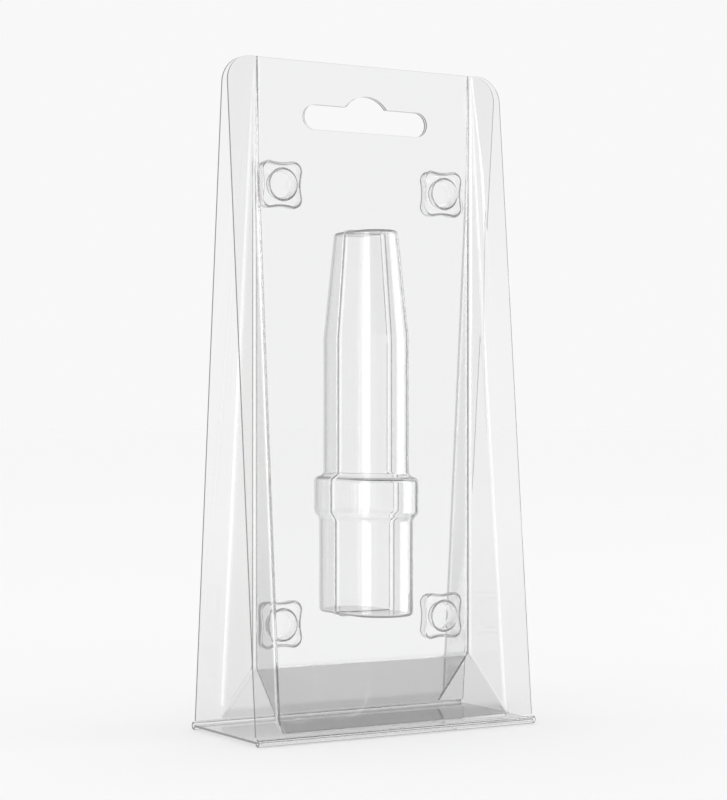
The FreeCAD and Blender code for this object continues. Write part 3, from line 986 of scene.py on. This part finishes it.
def soft_box(name, form, strength):
    """Upright curved soft box that only the sheet mirrors."""
    bearing, half_width, distance, low, high = form
    spots = []
    for turn in steps(math.radians(bearing - half_width), math.radians(bearing + half_width), 24):
        x, y = distance * math.sin(turn), -distance * math.cos(turn)
        spots += [(x, y, low), (x, y, high)]
    faces = [(i, i + 2, i + 3, i + 1) for i in range(0, len(spots) - 2, 2)]
    mesh = bpy.data.meshes.new(name)
    mesh.from_pydata(spots, [], faces)
    box = bpy.data.objects.new(name, mesh)
    bpy.context.scene.collection.objects.link(box)
    material = bpy.data.materials.new(name)
    nodes, links = new_tree(material)
    output = nodes.new("ShaderNodeOutputMaterial")
    path = nodes.new("ShaderNodeLightPath").outputs
    looked = math_node(nodes, links, "MAXIMUM", path["Is Glossy Ray"], path["Is Transmission Ray"])
    bounced = math_node(nodes, links, "MINIMUM", path["Glossy Depth"], 1.0)
    shown = math_node(nodes, links, "MULTIPLY", looked, bounced)
    glow = nodes.new("ShaderNodeEmission")
    glow.inputs["Strength"].default_value = strength
    clear = nodes.new("ShaderNodeBsdfTransparent")
    surface = mixed_shader(nodes, links, shown, clear.outputs["BSDF"], glow.outputs["Emission"])
    links.new(surface, output.inputs["Surface"])
    material.cycles.emission_sampling = "NONE"
    mesh.materials.append(material)


def strip_light(name, form, power):
    """Upright strip light that faces the pack."""
    bearing, width = form
    light = bpy.data.lights.new(name, "AREA")
    light.shape = "RECTANGLE"
    light.size = width
    light.size_y = STRIP_LENGTH
    light.energy = power
    lamp = bpy.data.objects.new(name, light)
    turn = math.radians(bearing)
    lamp.location = (STRIP_DISTANCE * math.sin(turn), -STRIP_DISTANCE * math.cos(turn), STRIP_HEIGHT)
    aim = Vector(STRIP_AIM) - lamp.location
    lamp.rotation_euler = aim.to_track_quat("-Z", "Y").to_euler()
    bpy.context.scene.collection.objects.link(lamp)


def stage_camera():
    """Level camera at the photograph's viewing angle."""
    data = bpy.data.cameras.new("camera")
    data.lens = CAMERA_LENS
    data.sensor_width = CAMERA_SENSOR
    data.shift_y = CAMERA_SHIFT
    data.clip_end = 50.0
    camera = bpy.data.objects.new("camera", data)
    camera.location = CAMERA_PLACE
    camera.rotation_euler = (math.radians(90.0), 0.0, math.radians(CAMERA_BEARING))
    bpy.context.scene.collection.objects.link(camera)
    bpy.context.scene.camera = camera


class PACK_OT_stage(bpy.types.Operator):
    """Build the floor, the lights, the world and the camera"""
    bl_idname = "pack.stage"
    bl_label = "Stage"

    def execute(self, context):
        settings = context.scene.pack_stage
        stage_floor()
        stage_world()
        soft_box("left_box", LEFT_BOX, settings.left_box)
        soft_box("right_box", RIGHT_BOX, settings.right_box)
        soft_box("front_box", FRONT_BOX, settings.front_box)
        strip_light("left_strip", LEFT_STRIP, settings.lamp_power)
        strip_light("right_strip", RIGHT_STRIP, settings.lamp_power)
        stage_camera()
        context.scene.view_settings.view_transform = "Standard"
        return {"FINISHED"}


class PACK_PT_panel(bpy.types.Panel):
    """Sizes, colours and build steps of the pack"""
    bl_idname = "PACK_PT_panel"
    bl_label = "Clamshell pack"
    bl_space_type = "VIEW_3D"
    bl_region_type = "UI"
    bl_category = "Pack"

    def draw(self, context):
        layout = self.layout
        scene = context.scene
        for settings in (scene.pack_form, scene.pack_sheet, scene.pack_stage):
            for name in settings.__annotations__:
                layout.prop(settings, name)
        for operator in OPERATORS:
            layout.operator(operator.bl_idname)


OPERATORS = (PACK_OT_foot, PACK_OT_front_shell, PACK_OT_rear_shell, PACK_OT_stage)
CLASSES = (PackFormSettings, PackSheetSettings, PackStageSettings) + OPERATORS + (PACK_PT_panel,)


def register():
    for cls in CLASSES:
        bpy.utils.register_class(cls)
    bpy.types.Scene.pack_form = PointerProperty(type=PackFormSettings)
    bpy.types.Scene.pack_sheet = PointerProperty(type=PackSheetSettings)
    bpy.types.Scene.pack_stage = PointerProperty(type=PackStageSettings)


def unregister():
    del bpy.types.Scene.pack_stage
    del bpy.types.Scene.pack_sheet
    del bpy.types.Scene.pack_form
    for cls in reversed(CLASSES):
        bpy.utils.unregister_class(cls)


def main():
    register()
    bpy.ops.pack.foot()
    bpy.ops.pack.front_shell()
    bpy.ops.pack.rear_shell()
    bpy.ops.pack.stage()


if __name__ == "__main__":
    main()
